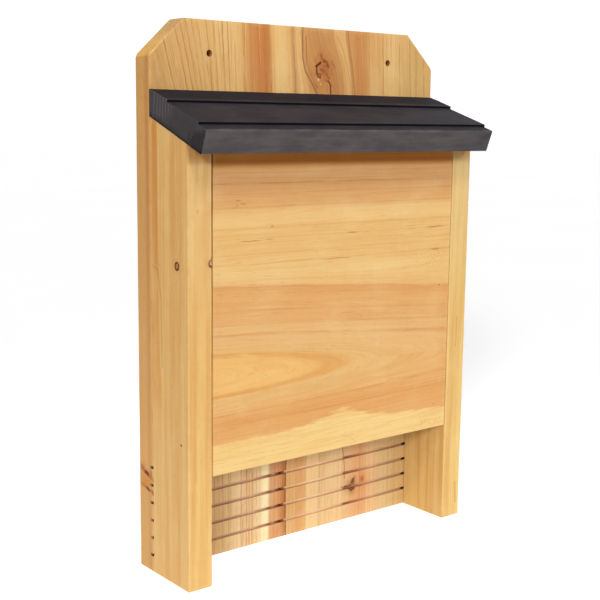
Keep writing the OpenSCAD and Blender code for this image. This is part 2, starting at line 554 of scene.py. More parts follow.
class Graph:
    """A node tree, built by calls."""

    def __init__(self, tree):
        self.tree = tree

    def put(self, value, socket):
        if isinstance(value, Val):
            self.tree.links.new(value.socket, socket)
        else:
            socket.default_value = value

    def math(self, operation, *values, clamp=False):
        node = self.tree.nodes.new("ShaderNodeMath")
        node.operation = operation
        node.use_clamp = clamp
        for value, socket in zip(values, node.inputs):
            self.put(value, socket)
        return Val(self, node.outputs[0])

    def vector(self, x, y, z):
        node = self.tree.nodes.new("ShaderNodeCombineXYZ")
        for value, socket in zip((x, y, z), node.inputs):
            self.put(value, socket)
        return Val(self, node.outputs[0])

    def coordinates(self, kind):
        place = self.tree.nodes.new("ShaderNodeTexCoord")
        split = self.tree.nodes.new("ShaderNodeSeparateXYZ")
        self.tree.links.new(place.outputs[kind], split.inputs[0])
        return [Val(self, socket) for socket in split.outputs]

    def noise(self, x, y, z, detail=2.0, roughness=0.5):
        """Noise from 0 to 1, around 0.5, whose bumps are about 1 long."""
        place = self.vector(x, y, z)
        node = self.tree.nodes.new("ShaderNodeTexNoise")
        self.put(place, node.inputs["Vector"])
        node.inputs["Scale"].default_value = 1.0
        node.inputs["Detail"].default_value = detail
        node.inputs["Roughness"].default_value = roughness
        return Val(self, node.outputs[0])

    def smooth(self, value, low, high):
        """0 at low and 1 at high, with a smooth step between. low may be the larger."""
        node = self.tree.nodes.new("ShaderNodeMapRange")
        node.interpolation_type = "SMOOTHSTEP"
        for item, socket in zip((value, low, high), node.inputs):
            self.put(item, socket)
        return Val(self, node.outputs[0])

    def between(self, value, low, high, soft):
        """1 from low to high, falling to 0 over soft on each side."""
        rise = self.smooth(value, low - soft, low + soft)
        return rise * self.smooth(value, high + soft, high - soft)

    def hump(self, *ratios):
        """exp of minus the sum of the squared ratios."""
        total = ratios[0] * ratios[0]
        for ratio in ratios[1:]:
            total = total + ratio * ratio
        return self.math("POWER", math.e, -total)

    def bands(self, value, stops, smooth=True):
        """A colour ramp whose stops are (place in mm, display colour), or a number ramp whose
        stops are (place in mm, share)."""
        low, high = stops[0][0], stops[-1][0]
        node = self.tree.nodes.new("ShaderNodeValToRGB")
        node.color_ramp.interpolation = "EASE" if smooth else "LINEAR"
        elements = node.color_ramp.elements
        for place, _ in stops[1:-1]:
            elements.new((place - low) / (high - low))
        grey = isinstance(stops[0][1], (int, float))
        for element, (place, colour) in zip(elements, stops):
            element.position = (place - low) / (high - low)
            element.color = (1.0, 1.0, 1.0, colour) if grey else srgb(*colour)
        self.put((value - low) / (high - low), node.inputs[0])
        return Val(self, node.outputs["Alpha" if grey else "Color"])

    def mix(self, factor, first, second, blend="MIX"):
        node = self.tree.nodes.new("ShaderNodeMix")
        node.data_type = "RGBA"
        node.blend_type = blend
        self.put(factor, node.inputs[0])
        self.put(first, node.inputs[6])
        self.put(second, node.inputs[7])
        return Val(self, node.outputs[2])

    def attribute(self, name):
        node = self.tree.nodes.new("ShaderNodeAttribute")
        node.attribute_name = name
        return Val(self, node.outputs["Fac"])

    def vector_math(self, operation, *values, scale=None):
        node = self.tree.nodes.new("ShaderNodeVectorMath")
        node.operation = operation
        for value, socket in zip(values, node.inputs):
            self.put(value, socket)
        if scale is not None:
            self.put(scale, node.inputs["Scale"])
        is_number = operation in ("DOT_PRODUCT", "DISTANCE")
        return Val(self, node.outputs["Value" if is_number else "Vector"])

    def stroke(self, place, points, width):
        """1 along a line drawn through points, falling to 0 at width on each side."""
        nearest = None
        for (au, av), (bu, bv) in zip(points, points[1:]):
            du, dv = bu - au, bv - av
            length = du * du + dv * dv
            offset = self.vector_math("SUBTRACT", place, (au, av, 0.0))
            along = self.vector_math("DOT_PRODUCT", offset, (du / length, dv / length, 0.0))
            along = self.math("MAXIMUM", along.least(1.0), 0.0)
            reached = self.vector_math("SCALE", (du, dv, 0.0), scale=along)
            distance = self.vector_math("DISTANCE", offset, reached)
            nearest = distance if nearest is None else nearest.least(distance)
        return self.smooth(nearest, width, width * 0.3)

    def uneven_lines(self, value, lines):
        """Lines given as (place, strength, reach below, reach above). The strength falls to 0
        over the reach. The places go up, and no line reaches the next."""
        stops = [(lines[0][0] - 9.0, 0.0)]
        for place, strength, below, above in lines:
            stops += [(place - below, 0.0), (place, strength), (place + above, 0.0)]
        return self.bands(value, stops, smooth=False)

    def lines(self, value, places, half_width):
        """1 at each of the places, falling to 0 over half_width on each side."""
        return self.uneven_lines(value, [(p, 1.0, half_width, half_width) for p in places])


class Surface(Graph):
    """A material's node tree, with bench coordinates x, y and z."""

    def __init__(self, name, roughness, specular=0.09, metallic=0.0):
        self.material = bpy.data.materials.new(name)
        self.material.use_nodes = True
        super().__init__(self.material.node_tree)
        self.tree.nodes.clear()
        self.shader = self.tree.nodes.new("ShaderNodeBsdfPrincipled")
        output = self.tree.nodes.new("ShaderNodeOutputMaterial")
        self.tree.links.new(self.shader.outputs["BSDF"], output.inputs["Surface"])
        self.shader.inputs["Roughness"].default_value = roughness
        self.shader.inputs["Specular IOR Level"].default_value = specular
        self.shader.inputs["Metallic"].default_value = metallic
        x, y, z = self.coordinates("Object")
        self.x, self.y, self.z = x / MM, y / MM, z / MM - BASE

    def finish(self, paint, roughness, height_mm):
        """Connects the paint, the roughness and a bump whose height is in millimetres."""
        self.put(paint.colour, self.shader.inputs["Base Color"])
        self.put(roughness, self.shader.inputs["Roughness"])
        bump = self.tree.nodes.new("ShaderNodeBump")
        bump.inputs["Strength"].default_value = 1.0
        bump.inputs["Distance"].default_value = MM
        self.put(height_mm, bump.inputs["Height"])
        self.tree.links.new(bump.outputs[0], self.shader.inputs["Normal"])
        return self.material


class Paint:
    """The colour of a surface, laid on in layers. Display colours are (red, green, blue),
    from 0 to 255."""

    def __init__(self, graph, first, second=None, share=None):
        """Starts as a colour in the graph, or as two display colours mixed by share."""
        self.graph = graph
        self.colour = first if second is None else graph.mix(share, srgb(*first), srgb(*second))

    def cover(self, factor, colour):
        """Lays a display colour, or a colour in the graph, over the paint where factor is 1."""
        if isinstance(colour, tuple):
            colour = srgb(*colour)
        self.colour = self.graph.mix(factor, self.colour, colour)

    def tint(self, factor, shade):
        """Multiplies the paint by a shade where factor is 1."""
        self.colour = self.graph.mix(factor, self.colour, (*shade, 1.0), blend="MULTIPLY")


# ---------------------------------------------------------------------------------------
# Wood
# ---------------------------------------------------------------------------------------


class Grain:
    """The detail that every bare board shares, laid along a grain direction. across counts
    millimetres from ring to ring, along runs with the fibres, and depth goes through."""

    def __init__(self, graph, across, along, depth, seed):
        g = self.graph = graph
        a, v, d = across + seed, along + 3 * seed, depth + seed
        self.broad = g.noise(a * 0.22, v * 0.004, d * 0.1)
        self.streak = g.noise(a * 0.9, v * 0.010, d * 0.4, detail=3.0, roughness=0.6)
        self.fibre = g.noise(a * 3.2, v * 0.07, d * 3.2)
        self.mottle = g.noise(a * 0.05, v * 0.03, d * 0.05, detail=3.0)
        self.curl = g.noise(a * 0.16, v * 0.30, d * 0.16)
        dash = g.noise(a * 1.7, v * 0.085, d * 1.7, detail=1.0)
        self.dash = g.smooth(dash, 0.69, 0.77)
        ring = g.noise(a * 0.17, v * 0.0035, d * 0.1, detail=1.0) * 5.0
        self.ring = g.smooth((g.math("FRACT", ring) - 0.5).abs(), 0.36, 0.5)

    def lay_on(self, paint, ring, dash, streak):
        g = self.graph
        warm = g.smooth(self.mottle, 0.42, 0.68)
        paint.tint(warm * 0.30, (0.985, 0.90, 0.80))
        pale = g.smooth(self.mottle, 0.48, 0.30)
        paint.cover(pale * 0.14, (246, 212, 150))
        paint.tint(g.smooth(self.streak, 0.52, 0.72) * (0.42 * streak), (0.90, 0.78, 0.62))
        paint.cover(g.smooth(self.streak, 0.46, 0.30) * (0.18 * streak), (250, 218, 160))
        paint.tint(g.smooth(self.broad, 0.50, 0.66) * 0.28, (0.93, 0.82, 0.68))
        paint.tint(self.ring * ring, (0.80, 0.62, 0.44))
        paint.tint(g.smooth(self.fibre, 0.45, 0.75) * 0.30, (0.86, 0.76, 0.62))
        paint.tint(g.smooth(self.curl, 0.50, 0.70) * 0.08, (0.80, 0.72, 0.60))
        paint.tint(self.dash * dash, (0.62, 0.44, 0.30))

    def roughness(self):
        return (self.fibre * 0.16) + (self.broad * 0.10) + 0.46

    def height(self):
        """Raised latewood, fibres and pores, in mm."""
        return (self.streak * 0.07) + (self.fibre * 0.05) - (self.dash * 0.10)


def edge_highlights(paint, amount):
    """Paints the eased edges paler, unevenly: a painted highlight where the rounded edges catch
    the light.
    """
    g = paint.graph
    patchy = g.noise(g.x * 0.11, g.y * 0.11, g.z * 0.11, detail=3.0)
    edge_highlight = g.attribute("edge") * g.smooth(patchy, 0.25, 0.60)
    # Painted highlight: pale colour laid along the eased edges.
    paint.cover(edge_highlight * amount, (250, 214, 150))


def end_grain(paint, amount):
    """Sawn ends soak up more light and show short dark pores."""
    g = paint.graph
    pores = g.noise(g.x * 1.6, g.y * 1.6, g.z * 1.6, detail=3.0)
    paint.tint(amount, (0.88, 0.78, 0.66))
    paint.tint(g.smooth(pores, 0.52, 0.66) * amount * 0.6, (0.72, 0.55, 0.40))


def wobbly(g, u, v, size, amount):
    """Two coordinates shaken by noise, so that strokes drawn on them look grown."""
    shake = g.noise(u / size, v / size, 1.5) - 0.5
    other = g.noise(u / size, v / size, 8.5) - 0.5
    return u + shake * amount, v + other * amount


def pin_knot(paint, u, v, centre, radii, amount, heart):
    """A small round knot: a dark bark ring round a paler heart."""
    g = paint.graph
    u, v = wobbly(g, u - centre[0], v - centre[1], 1.5, 0.8)
    distance = ((u / radii[0]) * (u / radii[0]) + (v / radii[1]) * (v / radii[1])).sqrt()
    halo = g.smooth(distance, 2.4, 1.0)
    paint.tint(halo * amount * 0.35, (0.90, 0.76, 0.62))
    core = g.bands(distance, [(0.0, heart), (0.45, heart), (0.66, (108, 58, 14)),
                              (0.86, (96, 48, 8)), (1.05, (176, 126, 72))])
    paint.cover(g.smooth(distance, 1.12, 0.92) * amount, core)


def strokes(paint, u, v, amount, drawings):
    """Draws lines: each has its points, its half width, its strength and its colour."""
    g = paint.graph
    place = g.vector(u, v, 0.0)
    for points, width, strength, ink in drawings:
        paint.cover(g.stroke(place, points, width) * (amount * strength), ink)


def top_knot(paint, x, z, amount):
    """The large swirled knot above the roof: arched dark bark over a reddish heart."""
    g = paint.graph
    u, v = wobbly(g, x, z, 2.6, 1.6)
    swirl = g.noise(u * 0.30, v * 0.22, 3.0, detail=3.0)
    around = g.hump((u - 17.0) / 10.0, (v - 348.0) / 13.0)
    paint.tint(around * amount * 0.55, (0.95, 0.82, 0.70))
    paint.tint(g.smooth(swirl, 0.46, 0.60) * around * amount * 0.5, (0.82, 0.60, 0.42))
    heart = g.hump((u - 19.3) / 5.8, (v - 352.0) / 5.4)
    paint.cover(heart * amount * 0.90, (180, 106, 62))
    grit = g.noise(x * 0.9, z * 0.7, 6.0)
    rough = g.smooth(grit, 0.30, 0.52) * amount
    strokes(paint, u, v, rough, (
        ([(15.3, 364.5), (12.4, 361), (10.3, 357)], 1.6, 0.35, (160, 100, 48)),
        ([(16.1, 362), (16.8, 359), (19.1, 357.8)], 2.0, 0.75, (160, 76, 34)),
        ([(16.3, 351.3), (19.2, 349.8), (21.4, 348.2), (23.7, 345.5)], 1.6, 0.70,
         (150, 82, 42)),
        ([(17.4, 348.6), (19.3, 345.9), (21.5, 343.2)], 1.0, 0.55, (160, 92, 50)),
        ([(26.1, 357.5), (27.2, 355.9), (29.1, 354)], 1.0, 0.70, (150, 94, 40)),
        ([(27, 353), (26.6, 350), (25, 347)], 1.0, 0.40, (172, 108, 64)),
        ([(21.8, 335.5), (21.5, 340)], 1.2, 0.40, (172, 108, 52)),
        ([(13, 352.9), (13.6, 350.5)], 0.9, 0.70, (206, 140, 104)),
    ))
    strokes(paint, u, v, g.smooth(grit, 0.20, 0.36) * amount, (
        ([(18.5, 357.9), (21.3, 357.3), (22, 355.4), (22.8, 353.8)], 1.5, 0.80, (138, 70, 26)),
        ([(22, 355.2), (18.6, 354.4)], 0.9, 0.60, (150, 80, 34)),
        ([(15.4, 356.5), (13.6, 355.4), (11.7, 354)], 1.5, 0.95, (106, 32, 8)),
        ([(11.7, 354), (11.9, 351.2), (12.3, 348.4), (13.4, 346.3)], 1.4, 0.90, (112, 48, 20)),
        ([(13.4, 346.3), (15.6, 345.8), (15.6, 348), (14.1, 348.5)], 1.0, 0.85, (118, 62, 24)),
        ([(22.8, 343.6), (24.4, 342), (25.3, 340), (25.5, 334)], 1.2, 0.90, (124, 56, 20)),
        ([(13.5, 344.6), (13.5, 343.6)], 1.1, 0.80, (252, 200, 150)),
        ([(15.3, 341.6), (16.2, 340.8)], 0.9, 0.60, (240, 184, 130)),
    ))


def low_knot(paint, x, z, amount):
    """The star-shaped dead knot in the landing area, with a reddish stain beside it."""
    g = paint.graph
    u, v = wobbly(g, x, z, 1.8, 1.6)
    stain = g.hump((u - 65.5) / 6.5, (v - 27.0) / 9.0)
    paint.tint(stain * amount * 0.75, (1.0, 0.78, 0.62))
    spot = g.hump((u - 64.8) / 2.2, (v - 30.2) / 2.4)
    paint.cover(spot * amount * 0.95, (188, 104, 36))
    below = g.hump((u - 53.6) / 3.2, (v - 20.5) / 3.4)
    paint.tint(below * amount * 0.70, (0.84, 0.70, 0.56))
    halo = g.hump((u - 53.2) / 5.2, (v - 26.6) / 4.8)
    paint.cover(halo * amount * 0.80, (152, 98, 58))
    strokes(paint, u, v, amount, (
        ([(54.7, 29.6), (55.2, 31)], 2.8, 0.90, (116, 70, 28)),
        ([(57.1, 33), (57.6, 33.4)], 1.3, 0.60, (160, 108, 52)),
        ([(43, 26.9), (46.6, 26.4)], 1.7, 0.60, (160, 98, 74)),
        ([(46.6, 26.6), (50.3, 26), (52.1, 26.3)], 2.0, 0.95, (96, 42, 24)),
        ([(52.1, 26.3), (51.7, 24.3), (53.4, 22.9), (56.1, 24.1), (56, 26)], 1.6, 0.85,
         (118, 62, 28)),
        ([(61.3, 25.7), (64.4, 25.5)], 1.6, 0.85, (112, 50, 18)),
    ))


def edge_knot(paint, y, z, amount):
    """A knot cut through lengthways on the back board's left edge."""
    g = paint.graph
    u, v = wobbly(g, y, z, 2.6, 1.6)
    lens = g.hump((u + 8.5) / 7.5, (v - 63.5) / 4.6)
    paint.cover(lens * amount * 0.90, (214, 142, 62))
    blush = g.hump((u + 5.0) / 4.0, (v - 72.5) / 4.5)
    paint.cover(blush * amount * 0.55, (204, 130, 82))
    strokes(paint, u, v, amount, (
        ([(-3, 73), (-6, 71.2), (-10.4, 70), (-15.4, 68.6), (-18, 67)], 2.6, 0.70,
         (176, 98, 48)),
        ([(-8, 70.6), (-11, 69.8)], 2.2, 1.00, (132, 56, 20)),
        ([(-14.6, 72.4), (-16.2, 71)], 1.1, 0.70, (146, 88, 36)),
        ([(-3, 60.6), (-7.5, 59.8), (-10.8, 58.8), (-15.2, 58.6), (-18, 57)], 2.0, 0.60,
         (182, 104, 54)),
        ([(-9.6, 59.5), (-12, 58.3)], 1.4, 1.00, (96, 38, 6)),
        ([(-17, 58.6), (-18, 56.4)], 1.4, 0.80, (138, 64, 26)),
    ))


BOARD_FRONT = bench_box("back_board")[0][1]
RAIL_FRONT = bench_box("left_side")[0][1]

# Colours across the back board, above the roof and in the landing area, as (mm, colour)
HIGH_BANDS = [
    (-132, (206, 160, 100)), (-104, (222, 176, 113)), (-74, (230, 185, 120)),
    (-60, (236, 192, 127)), (-52, (226, 176, 112)), (-47, (212, 148, 86)),
    (-40, (208, 138, 78)), (-33, (200, 128, 66)), (-30.5, (206, 140, 80)),
    (-29.5, (228, 176, 108)), (-22, (238, 194, 128)), (-13, (232, 184, 118)),
    (-10.5, (206, 150, 92)), (-8, (212, 160, 102)), (-6.5, (234, 188, 122)),
    (-3, (230, 180, 114)), (-1.5, (206, 150, 94)), (3, (208, 150, 90)),
    (14, (200, 140, 84)), (27, (206, 148, 90)), (31, (224, 172, 108)),
    (39, (226, 176, 112)), (41.5, (198, 144, 90)), (43.5, (214, 156, 94)),
    (52, (206, 143, 82)), (61, (210, 150, 88)), (66, (222, 172, 108)),
    (88, (228, 184, 121)), (112, (212, 170, 106)), (132, (215, 172, 108)),
]
LANDING_BANDS = [
    (-112, (206, 160, 106)), (-76, (208, 162, 108)), (-72, (216, 170, 116)),
    (-66, (224, 182, 128)), (-60, (230, 188, 136)), (-54, (226, 180, 132)),
    (-48, (222, 174, 124)), (-42, (228, 184, 136)), (-38, (228, 190, 140)),
    (-35, (240, 210, 158)), (-31, (242, 214, 164)), (-29.5, (226, 188, 138)),
    (-28, (212, 152, 106)), (-22, (206, 140, 90)), (-17, (198, 124, 74)),
    (-14.5, (178, 104, 58)), (-13, (214, 160, 102)), (-6, (212, 155, 98)),
    (0, (214, 150, 92)), (6, (216, 158, 100)), (8, (230, 184, 130)),
    (16, (232, 188, 136)), (20, (222, 176, 122)), (36, (228, 182, 130)),
    (48, (220, 168, 118)), (58, (222, 162, 112)), (63, (216, 154, 104)),
    (72, (222, 168, 118)), (90, (232, 188, 132)), (112, (222, 172, 112)),
]

# Colours along the kerfs: painted shade, dark, at the left end and beside the right rail, where
# the kerfs run in under the rails; dark at the crack; paler between, as painted light that
# makes up for the shade inside the grooves
KERF_BANDS = [
    (-132, (70, 34, 16)), (-126.5, (70, 34, 16)), (-124, (150, 100, 70)),
    (-90, (180, 134, 112)), (-45, (196, 154, 130)), (-32, (180, 134, 110)),
    (-27.6, (140, 92, 72)), (-24, (176, 130, 104)), (-20.5, (124, 76, 54)),
    (-17.8, (72, 34, 18)), (-14.8, (120, 74, 50)), (-12, (206, 166, 132)),
    (16, (222, 186, 154)), (44, (206, 168, 136)), (47, (150, 92, 64)),
    (60, (170, 116, 84)), (64, (186, 136, 106)), (80, (208, 168, 136)),
    (108.6, (190, 146, 116)), (110.2, (44, 20, 12)), (118, (44, 20, 12)),
    (132, (150, 106, 80)),
]

# Thin dark lines: high up or not, strength, half width and places across the board
DARK_LINES = (
    (True, 0.9, 0.7, (-117.0, -106.0, -101.3, -92.8, -82.4, -77.2, -70.6)),
    (True, 0.6, 0.8, (-111.5, -97.0, -88.6, -66.5, -61.0, -52.6, -29.6, -9.6)),
    (True, 0.75, 0.9, (77.6, 94.6, 106.0, 112.4, 121.0)),
    (False, 0.8, 0.7, (-78.8, -71.8, -66.4, -54.8, -50.0, -47.6, -44.6, -41.0)),
    (False, 0.5, 0.7, (-16.0, 20.1, 61.7, 92.6, 99.7)),
)


def resin_threads(paint, line, y, z):
    """Broken dark threads on the left part of the back board."""
    g = paint.graph
    thread = g.noise(line * 0.55, z * 0.006, y * 0.3, detail=1.0)
    thin = g.smooth((thread - 0.5).abs(), 0.030, 0.0)
    where = g.smooth(line, -36.0, -50.0)
    broken = g.noise(line * 0.5, z * 0.05, 5.0)
    paint.tint(thin * where * g.smooth(broken, 0.35, 0.52) * 0.7, (0.66, 0.47, 0.32))


def board_lines(paint, across, line, high_up, low_down):
    """The thin dark lines of the back board's front, frayed along their length."""
    g = paint.graph
    x, z = g.x, g.z
    frayed = g.smooth(g.noise(line * 0.4, z * 0.06, 9.0), 0.32, 0.48)
    jitter = (g.noise(x * 0.1, z * 0.12, 4.0) - 0.5) * 1.6
    drawn = 0.0
    for is_high, strength, half_width, places in DARK_LINES:
        value, where = (across, high_up) if is_high else (x, low_down)
        drawn = drawn + g.lines(value + jitter, places, half_width) * (where * strength)
    paint.tint(drawn * frayed * 0.8, (0.60, 0.40, 0.25))


def board_strokes(paint, front):
    """The long curved lines beside the top knot and through the landing area."""
    g = paint.graph
    u, v = wobbly(g, g.x, g.z, 6.0, 1.0)
    bark = (150, 94, 52)
    strokes(paint, u, v, front, (
        ([(-1.8, 381), (-1.4, 359), (1.4, 350), (6.5, 343), (12.5, 334)], 1.1, 0.70, bark),
        ([(1.5, 374.5), (2.3, 356.4), (7.4, 346), (12.6, 338)], 0.8, 0.50, bark),
        ([(31, 376), (36.7, 367), (42.3, 352), (45.3, 336)], 0.7, 0.30, bark),
        ([(41.7, 381), (43.5, 367), (46.5, 353.6), (49.3, 334)], 0.9, 0.50, bark),
        ([(-11.7, 77), (-13.5, 54), (-13.8, 25), (-13, 0)], 0.9, 0.85, (120, 62, 32)),
        ([(43.2, 64), (45.7, 44), (45.9, 34)], 0.7, 0.70, (130, 84, 50)),
    ))


def board_edges(paint, x, y, z):
    """The back board's long side edges and its sawn top with the clipped corners."""
    g = paint.graph
    side = g.smooth(x.abs(), 128.2, 129.4)
    stripe = g.bands(y, [(-18, (206, 152, 90)), (-14, (182, 126, 76)), (-9, (208, 160, 100)),
                         (-3, (204, 156, 98)), (0, (186, 138, 86))])
    paint.cover(side * 0.6, stripe)
    # Painted light: the side edges are painted paler toward the bottom, as if lit by light
    # bouncing up from the floor.
    paint.cover(side * g.smooth(z, 330.0, 20.0) * 0.35, (236, 190, 132))
    paint.tint(side, (1.08, 1.02, 0.86))
    edge_knot(paint, y, z, g.smooth(x, -128.2, -129.4))
    # On a clipped corner x + z lies between 484 at the top and 486 at the side
    clipped = g.smooth(z + x.abs(), 484.3, 485.3)
    top_end = g.math("ADD", clipped, g.smooth(z, 379.9, 380.6), clamp=True)
    end_grain(paint, top_end * 0.25)
    # Painted light: the clipped corners, which face up and out, are brightened as if lit from
    # above.
    paint.tint(clipped, (1.42, 1.52, 1.28))


def kerf_colours(paint, groove, x, y, z):
    """Rough wood inside the kerfs: painted dark where they run in under the rails, and
    brightened between the rails as painted light against the shade in the grooves.
    """
    g = paint.graph
    dust = g.noise(x * 0.35, y, z * 0.35, detail=3.0)
    cut = Paint(g, g.bands(x, KERF_BANDS))
    cut.tint(g.smooth(dust, 0.42, 0.60) * 0.4, (0.88, 0.82, 0.78))
    # Painted light: the kerfs between the rails are brightened against the shade inside the
    # grooves.
    cut.tint(g.smooth(x, -124.0, -110.0), (1.48, 1.52, 1.42))
    shallow = g.smooth(x, -124.0, -126.0) * g.between(z, 20.0, 44.0, 4.0)
    cut.cover(shallow * 0.6, (176, 124, 72))
    paint.cover(g.smooth(groove, 0.15, 0.8), cut.colour)


def hanging_hole_colours(paint, x, y, z):
    """The walls inside the two hanging holes, painted a darker warm brown as painted shade for
    the dim inside of the holes.
    """
    g = paint.graph
    hole_x = HANGING["dims"]["spacing_x_mm"] / 2
    hole_z = bench(HANGING["pos_m"])[2]
    aside, above = x.abs() - hole_x, z - hole_z
    distance_squared = aside * aside + above * above
    in_hole = g.smooth(distance_squared, 7.8, 6.6) * g.smooth(y, -17.9, -17.2)
    # Painted shade: the hole walls are given a dark warm brown.
    paint.cover(in_hole, (176, 104, 72))


def back_board_material():
    g = Surface("bare_wood_back_board", 0.6)
    x, y, z = g.x, g.y, g.z
    wander = (g.noise(x * 0.006, y * 0.01, z * 0.011, detail=1.0) - 0.5) * 3.0
    lean = (358.0 - z) * 0.052
    turn = g.hump((x - 24.0) / 20.0) * g.smooth(z, 380.0, 334.0) * g.smooth(z, 200.0, 320.0)
    fan = g.smooth(x, -62.0, -112.0) * (358.0 - z).least(40.0) * 0.22
    bow = g.math("DIVIDE", x, (x * x + 3600.0).sqrt())
    across = x - lean - turn * 17.0 - fan + wander + (y - BOARD_FRONT) * bow * 0.7
    landing = x + wander * 0.5 + (y - BOARD_FRONT) * bow * 0.7
    is_low = g.smooth(z, 320.0, 100.0)
    line = across + (landing - across) * is_low
    grain = Grain(g, line, z, y, 11.0)
    high_bands = g.bands(across, HIGH_BANDS)
    landing_bands = g.bands(landing, LANDING_BANDS)
    paint = Paint(g, g.mix(is_low, high_bands, landing_bands))
    grain.lay_on(paint, ring=0.26, dash=0.30, streak=1.1)
    resin_threads(paint, line, y, z)

    front = g.smooth(y, -14.0, -17.0)
    high_up = g.smooth(z, 300.0, 320.0) * front
    low_down = g.smooth(z, 80.0, 70.0) * front
    board_lines(paint, across, line, high_up, low_down)
    board_strokes(paint, front)
    # Painted light: the landing area below the panel is brightened and cooled, making up for
    # the shade it lies in under the panel.
    paint.tint(low_down, (1.12, 1.27, 1.37))
    paint.tint(high_up, (1.02, 1.035, 1.03))
    top_knot(paint, x, z, front)
    low_knot(paint, x, z, front)
    board_edges(paint, x, y, z)
    groove = g.attribute("recess")
    kerf_colours(paint, groove, x, y, z)
    hanging_hole_colours(paint, x, y, z)
    edge_highlights(paint, 0.25)
    saw = g.noise(x * 2.2, y * 0.2, z * 0.05, detail=1.0)
    return g.finish(paint, grain.roughness(), grain.height() + saw * groove * 0.2)


LEFT_PIN = (-50.2, 219.9)
LEFT_HALF_KNOT = (-110.6, 221.7)


def left_rail_streak(paint, outer, y, z):
    """The redder band down the middle of the left rail's outer face, with thin lines."""
    g = paint.graph
    sway = (g.noise(z * 0.02, 1.0, 3.0, detail=1.0) - 0.5) * 2.0
    streak = g.smooth(y + sway + g.smooth(z, 170.0, 130.0) * 4.0, -27.4, -26.2)
    lengthways = g.between(z, 212.0, 420.0, 9.0) + g.between(z, 120.0, 196.0, 16.0) * 0.9
    redder = g.noise(y * 0.5, z * 0.012, 4.0)
    paint.tint(streak * lengthways * outer * (g.smooth(redder, 0.3, 0.7) * 0.5 + 0.5),
               (0.93, 0.74, 0.55))
    u, v = wobbly(g, y, z, 8.0, 1.2)
    rust = (176, 116, 62)
    strokes(paint, u, v, outer, (
        ([(-18, 218), (-26.6, 215), (-30.4, 196), (-31, 150)], 1.0, 0.35, rust),
        ([(-23, 330), (-23.5, 220)], 1.3, 0.25, rust),
        ([(-20.5, 310), (-20, 170)], 1.0, 0.20, rust),
        ([(-34, 318), (-34.5, 60)], 0.8, 0.15, rust),
    ))


def left_rail_knots(paint, outer, front, x, y, z):
    """A pin knot on the outer face, a half knot at the panel joint, and two chips."""
    g = paint.graph
    pin_knot(paint, y, z, LEFT_PIN, (2.9, 3.1), outer, (176, 124, 72))
    pin_knot(paint, x, z, LEFT_HALF_KNOT, (3.6, 3.2), front * 0.75, (216, 172, 140))
    strokes(paint, x, z, front, (
        ([(-110.5, 227.4), (-111.3, 224.6)], 1.0, 0.80, (110, 66, 20)),
        ([(-110.5, 219.6), (-112.6, 220.2)], 0.9, 0.85, (92, 46, 12)),
    ))
    long_chip = g.hump((x + 110.6) / 1.6, (z - 213.0) / 6.0) * front
    paint.tint(long_chip * 0.6, (0.82, 0.64, 0.46))
    small_chip = g.hump((x + 122.0) / 0.8, (z - 256.0) / 1.4) * front
    paint.tint(small_chip * 0.5, (0.7, 0.52, 0.36))


def right_rail_marks(paint, front, x, z):
    strokes(paint, x, z, front, (
        ([(120.5, 164), (121, 152), (120.6, 140)], 0.7, 0.35, (150, 100, 56)),
        ([(125.3, 28), (126.2, 10)], 0.7, 0.60, (150, 100, 56)),
    ))


def rail_material(name, side, seed):
    g = Surface(name, 0.6)
    x, y, z = g.x, g.y, g.z
    wander = (g.noise(x * 0.02, y * 0.02, z * 0.008, detail=1.0) - 0.5) * 5.0
    heart_x, heart_y = x - side * 90.0, y - 20.0
    across = (heart_x * heart_x + heart_y * heart_y).sqrt() + wander
    if side == LEFT:
        pin_y, pin_z = LEFT_PIN
        pull = g.hump((y - pin_y) / 5.0, (z - pin_z) / 11.0)
        across = across - (y - pin_y) * pull * 0.7
    grain = Grain(g, across, z, x + y, seed)
    paint = Paint(g, (234, 193, 122), (225, 178, 108), g.smooth(grain.broad, 0.35, 0.65))
    outer = g.smooth(x * side, 128.0, 129.4)
    front = g.smooth(y, -60.5, -62.3)
    low_down = g.smooth(z, 330.0, 10.0)
    paint.tint(outer, (0.99, 0.92, 0.84))
    # Painted light: the outer face is painted paler toward the bottom, as if lit by light
    # bouncing up from the floor.
    paint.cover(outer * low_down * 0.30, (250, 214, 150))
    paint.tint(front * g.smooth(z, 150.0, 290.0) * 0.5, (0.95, 1.04, 1.34))
    if side == LEFT:
        paint.tint(front * g.smooth(z, 300.0, 200.0), (0.95, 0.935, 0.925))
        left_rail_streak(paint, outer, y, z)
    else:
        paint.tint(front, (0.98, 1.055, 1.10))
    grain.lay_on(paint, ring=0.18, dash=0.14, streak=0.7)
    if side == LEFT:
        left_rail_knots(paint, outer, front, x, y, z)
    else:
        right_rail_marks(paint, front, x, z)
    # Painted shadow: the rail fronts are darkened just under the roof.
    roof_shadow = g.smooth(z, 284.0, 292.0) * front
    paint.tint(roof_shadow * 0.60, (0.72, 0.44, 0.20))
    sawn = g.smooth(z, 0.9, 0.3)
    end_grain(paint, sawn * 0.7)
    edge_highlights(paint, 0.30)
    return g.finish(paint, grain.roughness(), grain.height())


# Colours across the panel's growth rings, from the tip of the dome figure, as (mm, colour)
PANEL_BANDS = [
    (-70, (232, 174, 110)), (-44, (230, 172, 108)), (-36, (228, 167, 102)),
    (-29, (232, 178, 114)), (-22, (231, 184, 120)), (-20, (240, 188, 116)),
    (0, (236, 188, 120)), (20, (240, 188, 116)), (22, (231, 184, 120)),
    (28, (234, 186, 126)), (36, (233, 184, 122)), (39.5, (230, 174, 112)),
    (50, (230, 173, 110)), (58, (228, 170, 107)), (63, (237, 192, 128)),
    (68, (240, 198, 133)), (76, (238, 194, 128)), (84, (235, 188, 121)),
    (99, (236, 189, 122)), (104, (240, 196, 131)), (110, (238, 194, 129)),
    (116, (226, 174, 112)), (118, (224, 170, 110)), (131, (221, 165, 108)),
    (142, (222, 168, 110)), (165, (220, 164, 106)),
]

